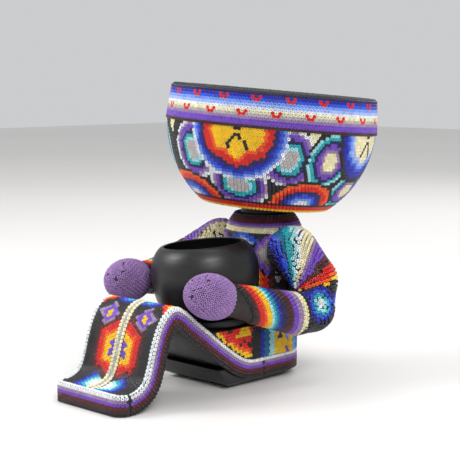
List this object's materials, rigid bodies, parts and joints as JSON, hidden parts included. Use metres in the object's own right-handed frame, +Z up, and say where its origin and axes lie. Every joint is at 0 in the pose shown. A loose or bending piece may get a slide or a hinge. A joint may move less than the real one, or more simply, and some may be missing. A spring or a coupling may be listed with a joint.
{
  "type": "beaded figure",
  "caption": "Seated black clay figure with an open bowl for a head and a round pot held on its lap, covered in glass seed beads laid in folk-art patterns.",
  "frame": {"origin": "bottom centre of the bounding box, on the surface that the figure sits on", "axes": "+Z up; the figure faces -Y; the figure's left side is +X"},
  "size_m": [0.1212, 0.1994, 0.1671],
  "materials": {
    "burnished_clay": "burnished black clay, soft grey highlights",
    "band_beads": "opaque glass seed beads set in wax",
    "field_beads": "opaque glass seed beads set in wax",
    "foot_beads": "opaque glass seed beads set in wax",
    "collar_beads": "opaque glass seed beads set in wax",
    "shirt_beads": "opaque glass seed beads set in wax",
    "hip_beads": "opaque glass seed beads set in wax",
    "trim_beads": "opaque glass seed beads set in wax",
    "leg_beads": "opaque glass seed beads set in wax",
    "strip_beads": "opaque glass seed beads set in wax",
    "sleeve_beads": "opaque glass seed beads set in wax",
    "forearm_beads": "opaque glass seed beads set in wax",
    "hand_beads": "opaque glass seed beads set in wax"
  },
  "bodies": {
    "root": {"head_bowl": "burnished_clay", "neck": "burnished_clay", "torso": "burnished_clay", "hips": "burnished_clay", "seat_base": "burnished_clay", "leg_slab": "burnished_clay", "left_arm": "burnished_clay", "right_arm": "burnished_clay", "pot": "burnished_clay", "pot_seat": "burnished_clay", "rim_band_beads": "band_beads", "bowl_field_beads": "field_beads", "bowl_foot_beads": "foot_beads", "collar_beads": "collar_beads", "shirt_beads": "shirt_beads", "hip_beads": "hip_beads", "hip_edge_beads": "trim_beads", "left_leg_beads": "leg_beads", "right_leg_beads": "leg_beads", "centre_strip_beads": "strip_beads", "left_edge_beads": "trim_beads", "right_edge_beads": "trim_beads", "toe_edge_beads": "trim_beads", "left_sleeve_beads": "sleeve_beads", "right_sleeve_beads": "sleeve_beads", "left_forearm_beads": "forearm_beads", "right_forearm_beads": "forearm_beads", "left_hand_beads": "hand_beads", "right_hand_beads": "hand_beads"}
  },
  "joints": []
}
